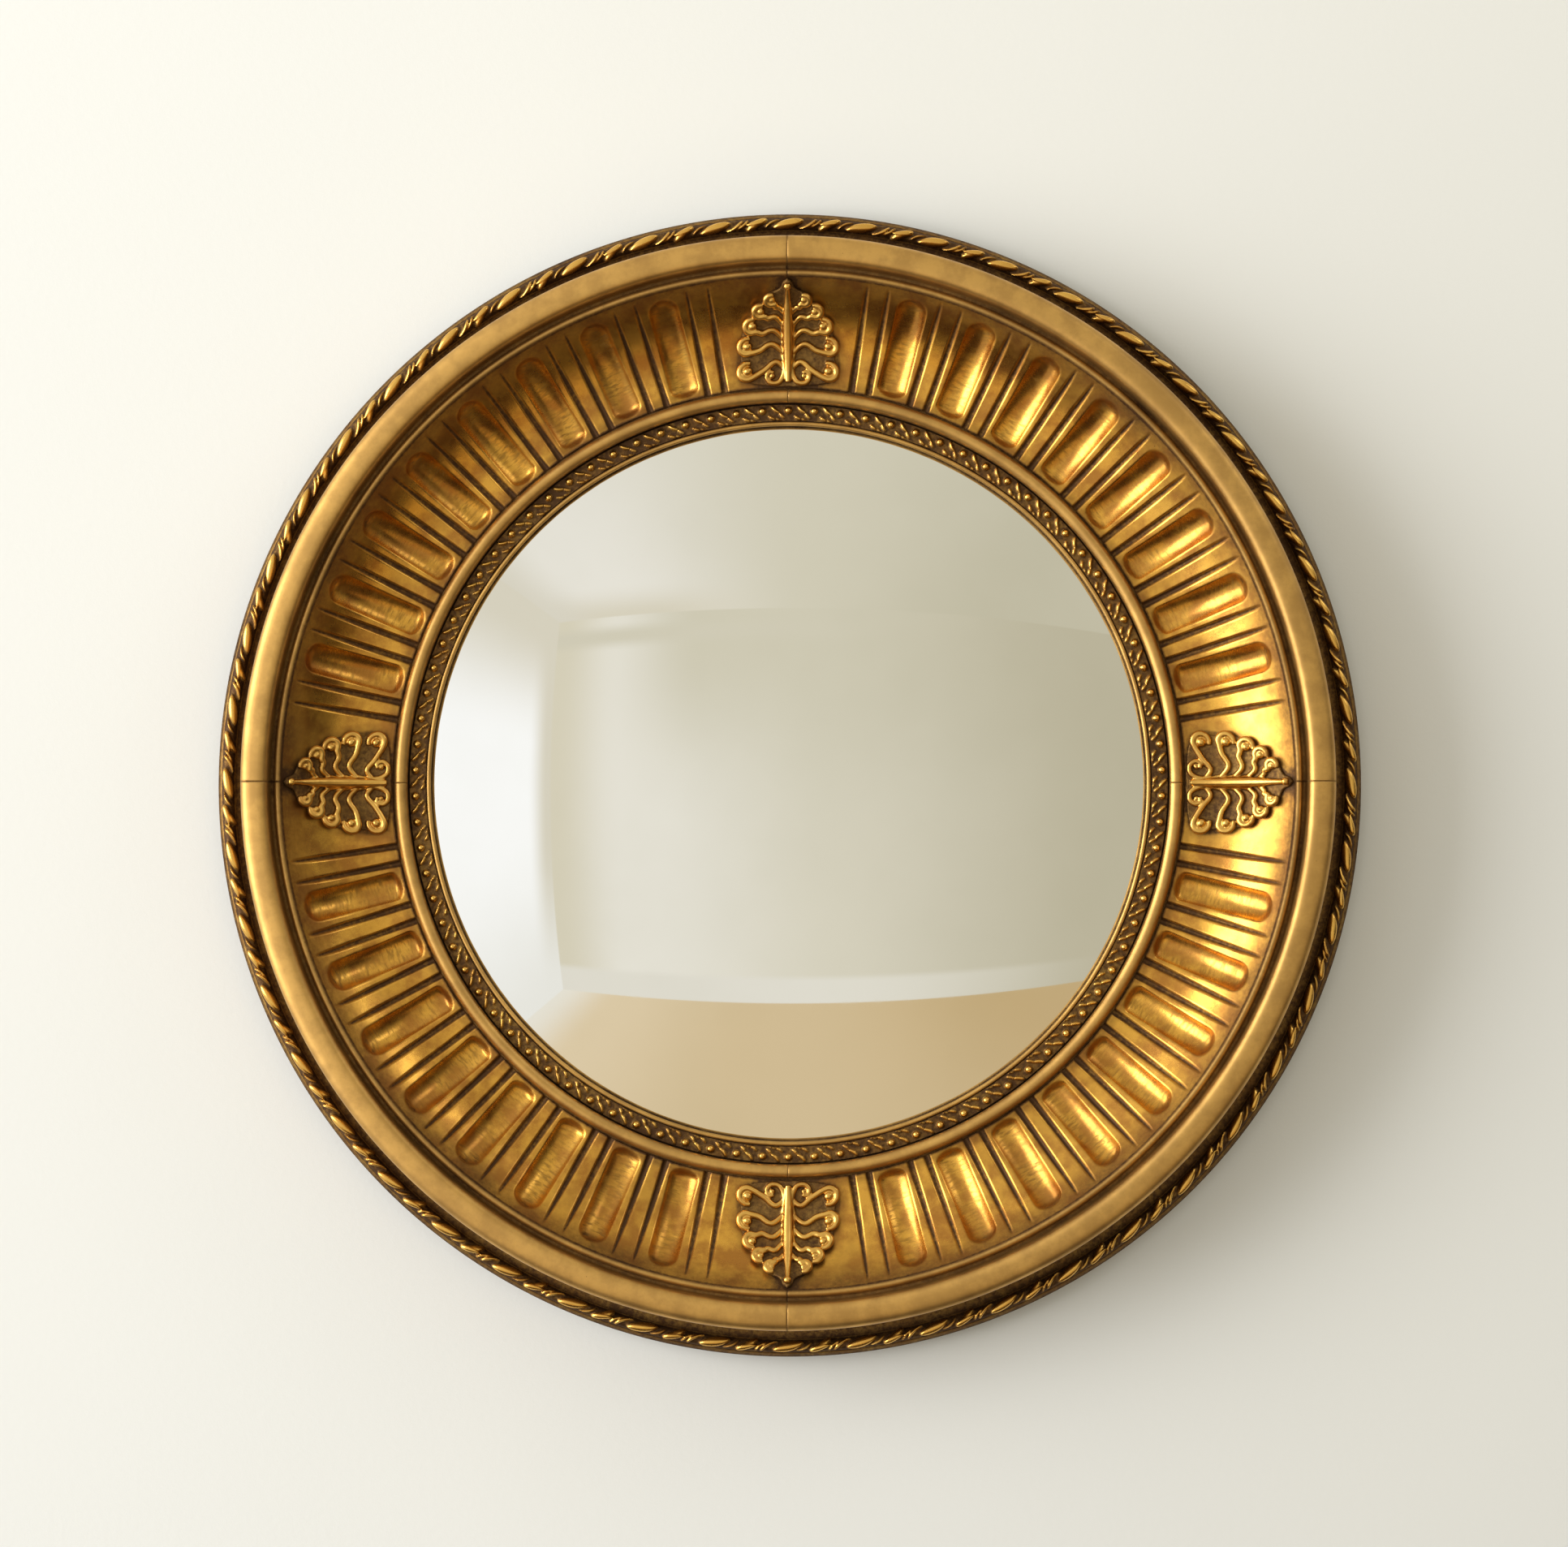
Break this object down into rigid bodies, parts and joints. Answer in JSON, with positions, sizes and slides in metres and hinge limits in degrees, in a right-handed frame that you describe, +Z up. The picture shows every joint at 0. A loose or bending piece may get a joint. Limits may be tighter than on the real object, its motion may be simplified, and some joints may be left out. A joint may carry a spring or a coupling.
{
  "type": "convex wall mirror",
  "caption": "Round convex mirror in a dished, fluted gilt frame with palmettes and a rope edge, glazed from the back and hung by a ring.",
  "frame": {"origin": "on the mirror's axis, in the plane of the frame's back rim, which lies against the wall", "axes": "+Y points out of the mirror's back into the wall, so the mirror faces -Y; +Z is up as it hangs; +X is to the right as seen from the front"},
  "size_m": [0.48, 0.0537, 0.48],
  "materials": {
    "gilded_wood": "aged gilding over gesso with dark glaze in the hollows",
    "gilded_ornament": "carved and gilded, rubbed on the high points, dark in the hollows",
    "mirror_glass": "clear convex silvered glass",
    "packing_felt": "pressed grey felt",
    "board_wood": "plain planed pine, aged",
    "tongue_wood": "plain hardwood",
    "brass": "dull aged brass",
    "screw_steel": "dull steel"
  },
  "bodies": {
    "frame": {"frame_quarter_upper_right": "gilded_wood", "frame_quarter_upper_left": "gilded_wood", "frame_quarter_lower_left": "gilded_wood", "frame_quarter_lower_right": "gilded_wood", "rope_edge_upper_right": "gilded_ornament", "rope_edge_upper_left": "gilded_ornament", "rope_edge_lower_left": "gilded_ornament", "rope_edge_lower_right": "gilded_ornament", "palmette_top": "gilded_ornament", "palmette_left": "gilded_ornament", "palmette_bottom": "gilded_ornament", "palmette_right": "gilded_ornament", "sight_slip": "gilded_wood", "leaf_and_dart_band": "gilded_ornament", "convex_glass": "mirror_glass", "packing_ring": "packing_felt", "backboard": "board_wood", "joint_tongues": "tongue_wood", "turn_button_screws": "screw_steel", "hanging_plate": "brass", "hanging_plate_screws": "screw_steel"},
    "turn_button_upper_right": {"turn_button_upper_right": "brass"},
    "turn_button_upper_left": {"turn_button_upper_left": "brass"},
    "turn_button_lower_left": {"turn_button_lower_left": "brass"},
    "turn_button_lower_right": {"turn_button_lower_right": "brass"},
    "hanging_ring": {"hanging_ring": "brass"}
  },
  "joints": [
    {"name": "turn_button_upper_right_turn", "type": "hinge", "parent": "frame", "child": "turn_button_upper_right", "pos_m": [0.12021, -0.0069, 0.12021], "axis": [0, -1, 0], "continuous": true},
    {"name": "turn_button_upper_left_turn", "type": "hinge", "parent": "frame", "child": "turn_button_upper_left", "pos_m": [-0.12021, -0.0069, 0.12021], "axis": [0, -1, 0], "continuous": true},
    {"name": "turn_button_lower_left_turn", "type": "hinge", "parent": "frame", "child": "turn_button_lower_left", "pos_m": [-0.12021, -0.0069, -0.12021], "axis": [0, -1, 0], "continuous": true},
    {"name": "turn_button_lower_right_turn", "type": "hinge", "parent": "frame", "child": "turn_button_lower_right", "pos_m": [0.12021, -0.0069, -0.12021], "axis": [0, -1, 0], "continuous": true},
    {"name": "hanging_ring_swing", "type": "hinge", "parent": "frame", "child": "hanging_ring", "pos_m": [0, -0.0047, 0.189], "axis": [1, 0, 0], "range_deg": [0, 180]}
  ]
}
